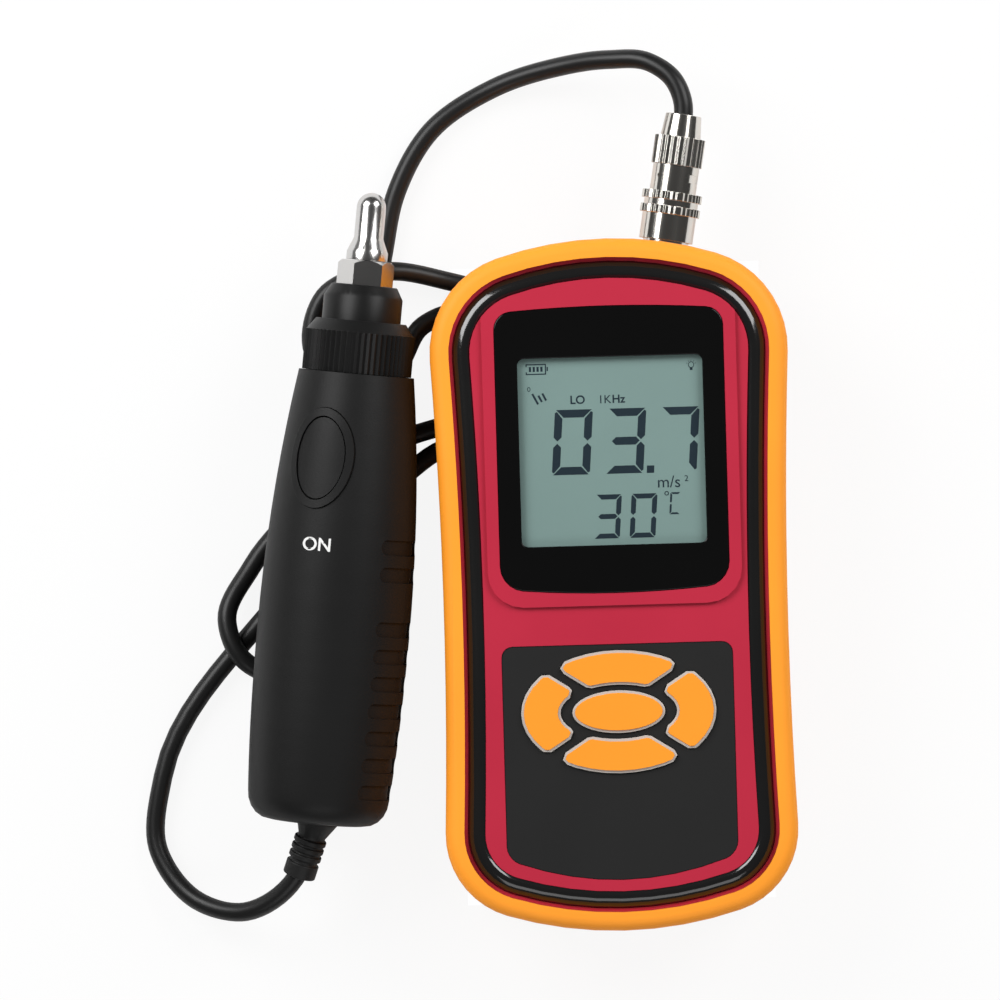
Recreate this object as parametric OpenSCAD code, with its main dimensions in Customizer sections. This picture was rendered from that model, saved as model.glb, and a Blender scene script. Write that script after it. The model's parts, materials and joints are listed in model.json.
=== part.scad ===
// Handheld vibration meter in a rubber boot, with a wired accelerometer probe beside it.
// The meter lies on its back: +X is its right, +Y its socket end and +Z comes out of its face.
// The origin is on the boot's back, in the middle of its outline.

/* [Boot and case] */
// Length of the boot
boot_len = 154.4; // [150:0.2:160]
// Width of the boot at its waist
waist_w = 76.7; // [75:0.1:80]
// Height of the boot from its back to its front rim
boot_h = 35.5; // [34.5:0.1:38]
// Wall of the boot
boot_wall = 3.2; // [2.8:0.1:3.6]
// Thickness of the boot's back
boot_back_t = 2.4; // [2:0.1:3]
// Width of the front rim, which laps over the case
rim_w = 4.2; // [4:0.1:4.6]
// Wall of the case
shell_t = 2.2; // [1.8:0.1:2.4]
// Height of the relieved upper end of the back over the table
relief_h = 6.2; // [5.5:0.1:7]

/* [Display and keys] */
// Width of the window
window_w = 51; // [49:0.5:52]
// Thickness of the window
window_t = 1.5; // [1.2:0.1:1.8]
// Width of the visible display
display_w = 41.2; // [38:0.2:42]
// Height of the visible display
display_l = 41.9; // [40:0.1:45]
// Width of the keypad panel
panel_w = 51.4; // [50:0.1:52]
// Width of the ring of keys
key_ring_w = 43.5; // [42:0.5:46]
// Height of the ring of keys
key_ring_l = 27.4; // [27:0.2:30]
// Gap between neighbouring keys
key_gap = 1.9; // [1.2:0.1:2]
// Travel of a key
key_travel = 0.35; // [0.2:0.05:0.5]

/* [Battery] */
// Width of the battery
battery_w = 26.5; // [25:0.5:27]
// Length of the battery
battery_l = 48.5; // [46:0.5:49]
// Thickness of the battery
battery_t = 17.5; // [16:0.1:18]

/* [Socket and plug] */
// Diameter of the socket's neck
neck_d = 10.2; // [9.8:0.1:10.4]
// Diameter of the plug's sleeve
sleeve_d = 12.1; // [12:0.1:12.8]
// Diameter over the knurled rims of the sleeve
sleeve_rim_d = 13.5; // [13.2:0.1:14.2]
// Diameter of the plug's clamp nut
clamp_d = 11.4; // [11:0.1:12]

/* [Probe] */
// Diameter of the probe's handle
handle_d = 34.2; // [32:0.2:35]
// Length of the probe's handle
handle_len = 101; // [98:0.5:104]
// Wall of the probe's handle
handle_wall = 2; // [1.6:0.1:2.4]
// Diameter of the knurled ring
ring_d = 24.6; // [24:0.1:25.2]
// Diameter of the steel tip
tip_d = 6.6; // [6:0.1:7]
// Length of the steel tip
tip_len = 15.2; // [14:0.1:17]
// Size of the hexagon across its flats
hex_af = 11; // [10:0.1:12]
// Travel of the probe's button
button_travel = 0.6; // [0.3:0.1:0.8]

/* [Lead] */
// Diameter of the cable
cable_d = 4.3; // [4:0.1:4.4]

/* [Hidden] */

// Colours
orange = [0.98, 0.58, 0.08];
crimson = [0.72, 0.1, 0.2];
charcoal = [0.13, 0.13, 0.13];
black = [0.05, 0.05, 0.05];
nickel = [0.75, 0.74, 0.7];
steel = [0.66, 0.66, 0.65];
board_green = [0.1, 0.35, 0.2];
display_grey = [0.5, 0.6, 0.56];

// Clearances and overruns
fit = 0.1;
slack = 0.3;
cut = 1;
round_steps = 5;
circle_steps = 48;

// Outline of the boot: crowned ends, round corners and hollow sides, all tangent
side_r = 1100;
waist_y = -8;
top_crown_r = 80;
top_corner_r = 22.3;
low_crown_r = 87;
low_corner_r = 19;
boot_low_r = 6;
boot_rim_r = 2.8;
relief_from = 10;
relief_to = 26;

half_len = boot_len / 2;
top_crown = [0, half_len - top_crown_r];
low_crown = [0, low_crown_r - half_len];
side_c = [waist_w / 2 + side_r, waist_y];
top_corner = meet(top_crown, top_crown_r - top_corner_r, side_c, side_r + top_corner_r, 1);
low_corner = meet(low_crown, low_crown_r - low_corner_r, side_c, side_r + low_corner_r, -1);
top_turn = heading(top_crown, top_corner);
low_turn = heading(low_crown, low_corner);
side_top = heading(top_corner, side_c);
side_low = heading(low_corner, side_c);
side_top_y = top_corner[1] + top_corner_r * sin(side_top);
side_low_y = low_corner[1] + low_corner_r * sin(side_low);

// Rows of the side's hollow arc: the relief's two edges are among them
side_rows = concat(
    steps(side_top_y, relief_to, 3), steps(relief_to, relief_from, 2),
    steps(relief_from, side_low_y, 6));

// Right half of the outline, from the top to the bottom: each row is [x, y, normal x, normal y]
half_rim = concat(
    arc_rim(top_crown, top_crown_r, 90, top_turn, 4),
    arc_rim(top_corner, top_corner_r, top_turn, side_top, 9),
    [for (y = side_rows) side_rim(y)],
    arc_rim(low_corner, low_corner_r, side_low, low_turn, 9),
    arc_rim(low_crown, low_crown_r, low_turn, -90, 4),
    [rim_point(low_crown, low_crown_r, -90)]);
half_count = len(half_rim);
rim = concat(half_rim,
    [for (i = [half_count - 2:-1:1]) let (q = half_rim[i]) [-q[0], q[1], -q[2], q[3]]]);
rim_count = len(rim);

function heading(from, to) = atan2(to[1] - from[1], to[0] - from[0]);
function meet(c1, r1, c2, r2, side) =
    let (d = norm(c2 - c1), along = (r1 * r1 - r2 * r2 + d * d) / (2 * d),
        across = sqrt(r1 * r1 - along * along), u = (c2 - c1) / d)
    c1 + along * u + side * across * [-u[1], u[0]];
function steps(from, to, n) = [for (i = [0:n - 1]) from + (to - from) * i / n];
function rim_point(c, r, a) = [c[0] + r * cos(a), c[1] + r * sin(a), cos(a), sin(a)];
function arc_rim(c, r, from, to, n) = [for (a = steps(from, to, n)) rim_point(c, r, a)];
function side_rim(y) =
    let (rise = y - side_c[1], run = sqrt(side_r * side_r - rise * rise))
    [side_c[0] - run, y, run / side_r, -rise / side_r];
function outline(inset) = [for (q = rim) [q[0] - inset * q[2], q[1] - inset * q[3]]];
function lift(y) = relief_h * min(1, max(0, (y - relief_from) / (relief_to - relief_from)));

// Outlines of panels and openings
function corner(c, r, from) =
    [for (i = [0:round_steps]) c + r * [cos(from + 90 * i / round_steps), sin(from + 90 * i / round_steps)]];
function round_box(w, low, high, r) = concat(
    corner([w / 2 - r, high - r], r, 0), corner([r - w / 2, high - r], r, 90),
    corner([r - w / 2, low + r], r, 180), corner([w / 2 - r, low + r], r, 270));
function edge_run(x, y, n) = [for (i = [1:n - 1]) [x - 2 * x * i / n, y]];
function arched_box(w, low, high, r_low, r_high, arch_low, arch_high) = concat(
    [for (p = concat(corner([w / 2 - r_high, high - r_high], r_high, 0),
        edge_run(w / 2 - r_high, high, 8), corner([r_high - w / 2, high - r_high], r_high, 90)))
        [p[0], p[1] + arch_high * (1 - pow(2 * p[0] / w, 2))]],
    [for (p = concat(corner([r_low - w / 2, low + r_low], r_low, 180),
        edge_run(r_low - w / 2, low, 8), corner([w / 2 - r_low, low + r_low], r_low, 270)))
        [p[0], p[1] - arch_low * (1 - pow(2 * p[0] / w, 2))]]);
function ellipse(w, l, n = 40) = [for (i = [0:n - 1]) [w / 2 * cos(360 * i / n), l / 2 * sin(360 * i / n)]];
function flutes(d, n, deep) =
    [for (i = [0:2 * n - 1]) (d / 2 - (i % 2) * deep) * [cos(180 * i / n), sin(180 * i / n)]];

// Levels of the meter, from the back to the face
case_inset = boot_wall + fit;
case_back = boot_back_t + fit;
parting_z = 18;
rim_t = 2.2;
case_rim = boot_h - rim_t - fit;
plate_t = 2.4;
face_drop = 0.5;
face_z = boot_h - face_drop;
surround_h = 0.9;
band_h = 0.5;
band_seam = 0.8;
band_w = 3.8;
band_sink = 1;
band_out = rim_w + band_seam;
band_in = band_out + band_w;
band_seat = case_rim - band_sink;
field_foot = 1;
field_in = band_in + fit;

// Solids that share the boot's outline
module slab(inset, low, high) {
    translate([0, 0, low]) linear_extrude(high - low) polygon(outline(inset));
}
module over_back(z) {
    reach = boot_len;
    rotate([90, 0, 90]) linear_extrude(2 * waist_w, center = true)
        polygon([[-reach, z], [relief_from, z], [relief_to, z + relief_h], [reach, z + relief_h],
            [reach, boot_len], [-reach, boot_len]]);
}
module case_block(inset, low, high) {
    intersection() {
        slab(inset, low, high);
        over_back(low);
    }
}
module prism(points, low, high) {
    translate([0, 0, low]) linear_extrude(high - low) polygon(points);
}
// Skin through rings of the outline: each level is [inset, height, share of the back's lift]
module rim_solid(levels) {
    points = [for (v = levels) for (q = rim)
        [q[0] - v[0] * q[2], q[1] - v[0] * q[3], v[1] + v[2] * lift(q[1])]];
    last = (len(levels) - 1) * rim_count;
    walls = [for (k = [0:len(levels) - 2]) for (i = [0:rim_count - 1]) let (j = (i + 1) % rim_count)
        [k * rim_count + i, k * rim_count + j, (k + 1) * rim_count + j, (k + 1) * rim_count + i]];
    floor_strips = [for (i = [0:half_count - 2]) i == 0 ? [0, rim_count - 1, 1] :
        i == half_count - 2 ? [i, rim_count - i, i + 1] :
        [i, rim_count - i, rim_count - i - 1, i + 1]];
    top = [[for (i = [0:rim_count - 1]) last + i]];
    polyhedron(points, concat(walls, floor_strips, top), convexity = 6);
}
// Closed band along the outline: its section is a loop of [inset, height]
module rim_band(section, step_h) {
    n = len(section);
    points = [for (v = section) for (q = rim)
        [q[0] - v[0] * q[2], q[1] - v[0] * q[3], v[1] + v[2] * step_h * band_step(q[1])]];
    polyhedron(points, [for (k = [0:n - 1]) for (i = [0:rim_count - 1])
        let (j = (i + 1) % rim_count, m = (k + 1) % n)
        [k * rim_count + i, k * rim_count + j, m * rim_count + j, m * rim_count + i]], convexity = 6);
}

// Socket, plug and their places along the socket's axis, measured from the crown's centre
socket_a = 9.75;
socket_z = relief_h + (boot_h - relief_h) / 2;
socket_wall = top_crown_r - case_inset;
flange_d = 14;
flange_t = 1.5;
thread_d = 11;
insert_d = 8;
boot_hole_gap = 0.75;
boot_hole_d = flange_d + 2 * boot_hole_gap;
neck_reach = 4;
neck_end = top_crown_r + neck_reach;
insert_face = top_crown_r;
sleeve_lift = 0.6;
sleeve_l = 10.9;
sleeve_start = top_crown_r + sleeve_lift;
sleeve_end = sleeve_start + sleeve_l;
sleeve_travel = 1.5;
rim_wide = 1.8;
rim_space = 1.4;
barrel_d = neck_d + 2 * fit;
flat_deep = 0.5;
barrel_show = 6.1;
nut_l = 6.4;
cone_l = 5.1;
nut_start = sleeve_end + barrel_show;
nut_end = nut_start + nut_l;
cone_end = nut_end + cone_l;
cone_d = [9.1, 8];

// Turns the +Z axis to a compass heading from +X and a climb
module aim(turn, climb) {
    rotate([0, 90 - climb, turn]) children();
}
module at_socket() {
    translate([top_crown[0], top_crown[1], socket_z]) aim(90 - socket_a, 0) children();
}
module disc(d, from, to) {
    translate([0, 0, from]) cylinder(d = d, h = to - from, $fn = circle_steps);
}
module tube(d, bore, from, to) {
    difference() {
        disc(d, from, to);
        disc(bore, from - cut, to + cut);
    }
}
module hexagon(af, from, to) {
    translate([0, 0, from]) linear_extrude(to - from) circle(d = af / cos(30), $fn = 6);
}

// Screws of the case: their places are shares of the case's length and width
screw_shares = [[0.38, 0.385], [-0.38, 0.385], [0.36, -0.39], [-0.36, -0.39]];
screw_d = 2.6;
screw_head_d = 5;
boss_d = 7;
screw_head_t = shell_t - slack;
function screw_at(s) = [s[0] * waist_w, s[1] * boot_len];

// Battery, its well and its door
battery_y = -66;
well_gap = 0.5;
well_wall = 1.4;
snap_l = 5;
snap_inset = 1;
battery_r = 2;
well_w = battery_w + 2 * well_gap;
well_low = battery_y - well_gap;
well_high = battery_y + battery_l + snap_l + 2 * well_gap;
door_margin = 2.6;
door_t = 1.9;
door_face = 0.6;
latch_h = 1.4;
battery_z = door_face + door_t + fit;
well_roof = battery_z + battery_t + well_gap;
door_w = well_w + 2 * door_margin;
door_high = well_high + door_margin;
door_gap = 0.2;
door_pin_d = 1.2;
door_pin_l = 1.5;
door_axis = [0, well_low - door_margin + door_t, door_face + door_t / 2];
pad_margin = 2.4;
pad_w = door_w + 2 * pad_margin;
pad_low = door_axis[1] - door_t / 2 - pad_margin;
pad_high = door_high + pad_margin;
pad_r = 3;

// Board and display stack
board_t = 1.6;
board_z = 24.4;
board_top = board_z + board_t;
board_gap = 1.2;
board_inset = case_inset + shell_t + board_gap;
window_low = -0.4;
window_high = 61;
window_low_r = 5;
window_high_r = 3.6;
window_arch_low = 1.4;
window_arch_high = 1.1;
window_top = face_z + surround_h - fit;
window_floor = window_top - window_t;
display_y = 29.8;
lcd_side_w = 4.6;
lcd_end_l = 6.7;
lcd_w = display_w + lcd_side_w;
lcd_l = display_l + lcd_end_l;
frame_r = 1;
lcd_t = 2.8;
frame_wall = 1.3;
frame_floor = 1.8;
frame_w = lcd_w + 2 * (frame_wall + fit);
frame_l = lcd_l + 2 * (frame_wall + fit);
lcd_top = window_floor - slack;
surround_w = 2.8;

// Keypad
panel_t = 1;
panel_sink = 0.2;
panel_top = face_z - panel_sink;
panel_low = -60.5;
panel_high = -13.3;
panel_arch = 5.2;
panel_low_r = 2.7;
panel_high_r = 2.4;
key_y = -28.3;
key_rise = 1.2;
key_edge = 0.6;
key_top_z = panel_top + key_rise;
mat_t = 1;
mat_top = case_rim - plate_t - fit;
dome_h = 1.3;
key_floor = mat_top + dome_h + key_travel + fit;
centre_key_w = 20.7;
centre_key_l = 9.5;
ring_in_w = 26;
ring_in_l = 12.1;
key_slot = 0.15;
key_foot = 0.4;
key_foot_h = 0.8;
key_corner = 1.5;
spoke_x = 0.1;
spoke_slope = 0.64;
key_hole_margin = 1.6;
switch_w = 6;
dome_d = 5;

// Probe: its place on the table, its heading, its climb towards the tip and its roll
tip_at = [-51.7, 89.1, 24];
probe_turn_a = 83.24;
probe_climb_a = 1.3;
probe_roll_a = -24;
nose_len = 5.6;
collar_len = 8;
collar_d = [14.7, 17.7];
collar_chamfer = 2.7;
ring_len = 11.8;
ring_chamfer = 2.6;
hex_at = tip_len;
collar_at = hex_at + nose_len;
ring_at = collar_at + collar_len;
handle_at = ring_at + ring_len;
handle_end = handle_at + handle_len;
shoulder_t = 2;
collar_flange_d = 21.4;
collar_flange_t = 2;
neck_thread_d = 21.8;
stack_d = 10;
stack_l = 6;
stack_neck = 2;
shank_d = 8;
shank_l = 3;
collar_wall = 2.5;
stud_d = 4;
stud_len = 4;
// Handle's profile: two smooth bows between the neck, the fullest girth and the tail
girth_share = 0.57;
girth_lead_share = 0.28;
tail_lead_share = 0.79;
tail_at_share = 0.94;
tail_d = 31.8;
tail_r = 5;
handle_neck_d = 25.9;
profile_steps = 9;
// Grip: round-ended grooves on the fingers' side of the handle, counted from the tip's end
groove_count = 10;
groove_first_share = 0.376;
groove_last_share = 0.92;
groove_w = 3.4;
groove_deep = 0.7;
groove_from_a = 64;
// Button in the handle
button_at = 19.3;
button_w = 11.3;
button_l = 18.2;
button_ring_w = 15.2;
button_ring_l = 22.5;
ring_proud = 0.5;
button_proud = 0.2;

module at_probe() {
    translate(tip_at) aim(probe_turn_a, probe_climb_a) rotate([0, 0, probe_roll_a]) children();
}

// Lead: the route is chosen by hand, and its two ends follow the cone and the strain relief
relief_turn_a = -109.7;
relief_climb_a = -12;
relief_len = 13;
relief_neck_d = 6.3;
relief_bell_d = 10;
relief_rib_d = 7.4;
relief_rib_t = 1.2;
relief_ribs = 3;
cable_grip = 3;
cable_sides = 8;
route = [
    [18.4, 107.4, 20.8], [16.4, 112.8, 20], [11, 117, 17.8], [2, 118, 13.6],
    [-9, 117, 8], [-24, 112.8, 2.8], [-38.4, 103.6, 2.2], [-46.6, 90, 2.2],
    [-50.2, 75, 2.2], [-56, 45, 2.2], [-64.4, 26.4, 2.2], [-81.6, 6.2, 3.2],
    [-87.6, -5.8, 6], [-84.4, -14.6, 6.8], [-77, -18.6, 5], [-68.8, -16.4, 2.4],
    [-63.2, -9.2, 2.2], [-56.6, 14, 2.2], [-41, 29.8, 2.2], [-21.8, 38.4, 2.2],
    [-18, 54.4, 2.2], [-25.4, 65.4, 2.2], [-37, 69.8, 2.8], [-50.4, 71.8, 6.8],
    [-63.6, 66.6, 7], [-66.4, 54.2, 7], [-61.2, 47.8, 7], [-53.8, 46.8, 7],
    [-48, 49.8, 6], [-41.6, 59.4, 3.6], [-35.4, 62, 2.4], [-27.2, 59.8, 2.2],
    [-23.6, 53.4, 2.2], [-25, 45.6, 2.2], [-31, 39.6, 2.2], [-48, 33.2, 2.2], [-72, 3, 2.2],
    [-103.2, -41, 2.2], [-104.8, -57, 2.6], [-97, -68.4, 6.4], [-85, -71.6, 12.4]];

function aimed(turn, climb) = [cos(turn) * cos(climb), sin(turn) * cos(climb), sin(climb)];
socket_dir = aimed(90 - socket_a, 0);
probe_dir = aimed(probe_turn_a, probe_climb_a);
relief_dir = aimed(relief_turn_a, relief_climb_a);
tail_at = tip_at - handle_end * probe_dir;
lead_start = [top_crown[0], top_crown[1], socket_z] + (cone_end - cable_grip) * socket_dir;
lead_end = tail_at + (relief_len - cable_grip) * relief_dir;
lead = concat([lead_start], route, [lead_end]);
lead_last = len(lead) - 1;

// Smooth curve through the route: each tangent follows the lengths of the runs beside it
function run(i) = norm(lead[i + 1] - lead[i]);
function tangent(i) = i == 0 ? socket_dir : i == lead_last ? -relief_dir :
    ((lead[i] - lead[i - 1]) * run(i) / run(i - 1) + (lead[i + 1] - lead[i]) * run(i - 1) / run(i))
    / (run(i) + run(i - 1));
function on_run(i, t) = let (d = run(i), a = t * t * (3 - 2 * t))
    (1 - a) * lead[i] + a * lead[i + 1]
    + t * (1 - t) * d * ((1 - t) * tangent(i) - t * tangent(i + 1));
function along_run(i, t) = let (d = run(i))
    6 * t * (1 - t) * (lead[i + 1] - lead[i])
    + d * ((1 - t) * (1 - 3 * t) * tangent(i) + t * (3 * t - 2) * tangent(i + 1));
lead_path = concat([for (i = [0:lead_last - 1]) for (t = [0, 0.5]) on_run(i, t)], [lead[lead_last]]);
lead_heads = concat([for (i = [0:lead_last - 1]) for (t = [0, 0.5]) along_run(i, t)],
    [tangent(lead_last)]);
function unit(v) = v / norm(v);
function lead_ring(p, head) =
    let (side = unit(cross(head, [0, 0, 1])), up = unit(cross(side, head)))
    [for (k = [0:cable_sides - 1]) let (a = 360 * k / cable_sides)
        p + cable_d / 2 * (cos(a) * side + sin(a) * up)];

module rubber_boot() color(orange) {
    rounds = [for (k = [0:4]) 90 * k / 4];
    low = [for (a = rounds) [boot_low_r * (1 - sin(a)), boot_low_r * (1 - cos(a)), 1]];
    high = [for (a = rounds)
        [boot_rim_r * (1 - cos(a)), boot_h - boot_rim_r * (1 - sin(a)), 0]];
    difference() {
        rim_solid(concat(low, high));
        case_block(boot_wall, boot_back_t, boot_h - rim_t);
        slab(rim_w, boot_h / 2, boot_h + cut);
        prism(round_box(pad_w + 2 * fit, pad_low - fit, pad_high + fit, pad_r + fit),
            -cut, case_back + cut);
        at_socket() disc(boot_hole_d, socket_wall - cut, top_crown_r + flange_t + cut);
    }
}

// Bores, bosses and pads that the two halves of the case share
module socket_bore() {
    at_socket() disc(thread_d + 2 * fit, socket_wall - 2 * shell_t - cut, socket_wall + cut);
}
module screw_posts(d, low, high) {
    for (s = screw_shares) translate(screw_at(s)) disc(d, low, high);
}

module rear_shell() color(crimson) {
    floor_z = case_back + shell_t;
    difference() {
        union() {
            difference() {
                case_block(case_inset, case_back, parting_z);
                case_block(case_inset + shell_t, floor_z, parting_z + cut);
            }
            intersection() {
                case_block(case_inset + shell_t / 2, case_back, parting_z);
                screw_posts(boss_d, case_back, parting_z);
            }
            prism(round_box(pad_w, pad_low, pad_high, pad_r), door_face, floor_z);
            prism(round_box(well_w + 2 * well_wall, well_low - well_wall, well_high + well_wall,
                well_wall), case_back, well_roof + well_wall);
        }
        prism(round_box(well_w, well_low, well_high, well_gap), case_back - cut, well_roof);
        prism(round_box(door_w + 2 * door_gap, door_axis[1], door_high + door_gap, door_gap),
            door_face - cut, door_face + door_t + fit);
        translate(door_axis) rotate([0, 90, 0])
            cylinder(d = door_t + 2 * fit, h = door_w + 2 * door_gap, center = true, $fn = circle_steps);
        translate([-door_w / 2 - door_gap, door_axis[1] - door_t / 2 - fit, door_face - cut])
            cube([door_w + 2 * door_gap, door_t, door_t / 2 + cut]);
        translate(door_axis) rotate([0, 90, 0])
            cylinder(d = door_pin_d + fit, h = door_w + 2 * (door_gap + door_pin_l), center = true,
                $fn = circle_steps);
        translate([0, well_high - snap_l / 2, well_roof - cut])
            cylinder(d = snap_l, h = well_wall + 2 * cut, $fn = circle_steps);
        for (s = screw_shares) translate(screw_at(s)) {
            disc(screw_d + 2 * fit, case_back - cut, parting_z + cut);
            disc(screw_head_d + 2 * slack, case_back - cut,
                case_back + (s[1] > 0 ? relief_h : 0) + shell_t);
        }
        socket_bore();
    }
}

module front_shell() color(crimson) {
    difference() {
        union() {
            difference() {
                slab(case_inset, parting_z, case_rim);
                slab(case_inset + shell_t, parting_z - cut, case_rim - plate_t);
            }
            slab(field_in, case_rim - field_foot, face_z);
            intersection() {
                slab(field_in, case_rim, face_z + surround_h);
                prism(round_box(window_w + 2 * surround_w, window_low - window_arch_low - surround_w,
                    boot_len, window_low_r + surround_w), case_rim, face_z + surround_h);
            }
            screw_posts(boss_d, parting_z, case_rim - plate_t / 2);
        }
        difference() {
            slab(band_out, band_seat, face_z);
            slab(field_in, band_seat - cut, face_z + cut);
        }
        prism(window_points(fit), window_floor - fit, boot_h + cut);
        prism(round_box(frame_w + 2 * slack, display_y - frame_l / 2 - slack,
            display_y + frame_l / 2 + slack, frame_r), case_rim - plate_t - cut, boot_h);
        prism(panel_points(fit), panel_top - panel_t - fit, boot_h);
        translate([0, key_y, 0]) prism(ellipse(key_ring_w + key_hole_margin, key_ring_l + key_hole_margin),
            mat_top - cut, boot_h);
        screw_posts(screw_d + 2 * fit, parting_z - cut, case_rim - plate_t);
        socket_bore();
    }
}

// The band's crest steps down below the waist, with a slanted facet between
band_step_from = -14;
band_step_to = -6.5;
function band_step(y) = min(1, max(0, (y - band_step_from) / (band_step_to - band_step_from)));
module trim_band() color(black) {
    seat = band_seat + fit;
    outer = band_out + fit;
    inner = band_in;
    crest = face_z + band_h;
    wide = inner - outer;
    rim_band([
        [outer, seat, 0], [outer, case_rim + fit, 0], [outer + wide / 8, case_rim + 2 * band_h, 0.4],
        [outer + wide / 3, crest - band_h, 0.9], [outer + wide * 2 / 3, crest, 1],
        [inner - wide / 8, crest - fit, 1], [inner, crest - band_h, 1], [inner, seat, 0]],
        -band_h);
}

module housing_screws() color(nickel) {
    for (s = screw_shares) translate(screw_at(s)) {
        head_z = case_back + (s[1] > 0 ? relief_h : 0) + shell_t;
        difference() {
            union() {
                disc(screw_d, head_z - screw_head_t, parting_z + 4 * screw_d);
                disc(screw_head_d, head_z - screw_head_t, head_z);
            }
            translate([0, 0, head_z - screw_head_t]) for (a = [0, 90]) rotate(a)
                cube([screw_d, screw_d / 4, screw_head_t], center = true);
        }
    }
}

module battery_door() color(crimson) {
    tongue_w = door_w / 3;
    difference() {
        union() {
            prism(round_box(door_w, door_axis[1], door_high, door_gap), door_face, door_face + door_t);
            translate(door_axis) rotate([0, 90, 0])
                cylinder(d = door_t, h = door_w, center = true, $fn = circle_steps);
            translate(door_axis) rotate([0, 90, 0])
                cylinder(d = door_pin_d, h = door_w + 2 * door_pin_l, center = true, $fn = circle_steps);
            translate([-tongue_w / 2, well_high - well_gap - door_t, door_face + door_t])
                cube([tongue_w, door_t, latch_h]);
        }
        // Thumb grip: shallow grooves across the latch's end
        for (i = [0:3]) translate([0, door_high - (i + 2) * door_t, door_face])
            rotate([0, 90, 0]) cylinder(d = door_t / 2, h = tongue_w, center = true, $fn = circle_steps);
    }
}

module battery() color(charcoal) {
    prism(round_box(battery_w, battery_y, battery_y + battery_l, battery_r),
        battery_z, battery_z + battery_t);
    stud_h = snap_l / 2;
    for (x = [-1, 1]) translate([x * battery_w / 4, battery_y + battery_l, battery_z + battery_t / 2])
        rotate([-90, 0, 0]) cylinder(d = battery_w / 4, h = stud_h, $fn = circle_steps);
}

module battery_snap() color(black) {
    low = battery_y + battery_l + fit;
    difference() {
        translate([-battery_w / 2 + snap_inset, low, battery_z + latch_h])
            cube([battery_w - 2 * snap_inset, snap_l - slack, battery_t - 2 * latch_h]);
        for (x = [-1, 1]) translate([x * battery_w / 4, low - cut, battery_z + battery_t / 2])
            rotate([-90, 0, 0])
                cylinder(d = battery_w / 4 + 2 * fit, h = snap_l / 2 + cut, $fn = circle_steps);
    }
}

module main_board() color(board_green) {
    chip_w = board_t * 5;
    difference() {
        slab(board_inset, board_z, board_top);
        for (s = screw_shares) translate(screw_at(s))
            disc(boss_d + 2 * slack, board_z - cut, board_top + cut);
        at_socket() disc(flange_d / cos(30) + 2 * slack, socket_wall - 5 * shell_t, top_crown_r);
    }
    for (x = [-1, 1]) translate([x * chip_w * 1.2, display_y, board_z - board_t / 2])
        cube([chip_w, chip_w, board_t], center = true);
}

function window_points(gap) = arched_box(window_w + 2 * gap, window_low - gap, window_high + gap,
    window_low_r + gap, window_high_r + gap, window_arch_low, window_arch_high);
function panel_points(gap) = arched_box(panel_w + 2 * gap, panel_low - gap, panel_high + gap,
    panel_low_r + gap, panel_high_r + gap, panel_arch, 0);

module display_window() color(black) {
    prism(window_points(0), window_floor, window_top);
}

module lcd_panel() color(display_grey) {
    translate([-lcd_w / 2, display_y - lcd_l / 2, lcd_top - lcd_t]) cube([lcd_w, lcd_l, lcd_t]);
}

module lcd_frame() color(charcoal) {
    in_w = lcd_w + 2 * fit;
    in_l = lcd_l + 2 * fit;
    difference() {
        translate([-frame_w / 2, display_y - frame_l / 2, board_top + fit])
            cube([frame_w, frame_l, lcd_top - board_top - fit]);
        translate([-in_w / 2, display_y - in_l / 2, board_top + frame_floor])
            cube([in_w, in_l, lcd_top]);
    }
}

module backlight() color("white") {
    low = board_top + frame_floor;
    translate([-lcd_w / 2, display_y - lcd_l / 2, low + fit])
        cube([lcd_w, lcd_l, lcd_top - lcd_t - low - 2 * fit]);
}

// Keys: sectors of an oval ring round an oval key, cut apart by slanted slots
module key_ring_shape(grow) {
    offset(r = key_corner + grow) offset(delta = -key_corner) difference() {
        polygon(ellipse(key_ring_w, key_ring_l));
        polygon(ellipse(ring_in_w, ring_in_l));
        for (x = [-1, 1]) for (y = [-1, 1]) scale([x, y]) slot_shape();
    }
}
module slot_shape() {
    reach = key_ring_w;
    across = key_gap / 2 * [spoke_slope, 1] / norm([spoke_slope, 1]);
    from = [spoke_x, 0];
    to = from + reach * unit([1, spoke_slope]);
    side = [-across[0], across[1]];
    polygon([from - side, to - side, to + side, from + side]);
}
module ring_key_part(direction) {
    reach = key_ring_w;
    far_y = spoke_slope * (reach - spoke_x);
    intersection() {
        children();
        if (direction[1] != 0)
            polygon([[-spoke_x, 0], [spoke_x, 0], [reach, direction[1] * far_y],
                [-reach, direction[1] * far_y]]);
        else
            polygon([[direction[0] * spoke_x, 0], [direction[0] * reach, far_y],
                [direction[0] * reach, -far_y]]);
    }
}
module ring_key(direction) {
    crown = key_top_z - key_edge;
    color(orange) translate([0, key_y, 0]) {
        translate([0, 0, key_floor]) linear_extrude(crown - key_floor)
            ring_key_part(direction) key_ring_shape(0);
        translate([0, 0, key_floor]) linear_extrude(key_foot_h)
            ring_key_part(direction) key_ring_shape(key_foot);
        translate([0, 0, crown]) linear_extrude(key_edge)
            ring_key_part(direction) key_ring_shape(-key_edge);
    }
}
module key_top() ring_key([0, 1]);
module key_bottom() ring_key([0, -1]);
module key_left() ring_key([-1, 0]);
module key_right() ring_key([1, 0]);
module key_centre() color(orange) translate([0, key_y, 0]) {
    crown = key_top_z - key_edge;
    prism(ellipse(centre_key_w, centre_key_l), key_floor, crown);
    prism(ellipse(centre_key_w + 2 * key_foot, centre_key_l + 2 * key_foot), key_floor,
        key_floor + key_foot_h);
    prism(ellipse(centre_key_w - 2 * key_edge, centre_key_l - 2 * key_edge), crown, key_top_z);
}

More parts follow.
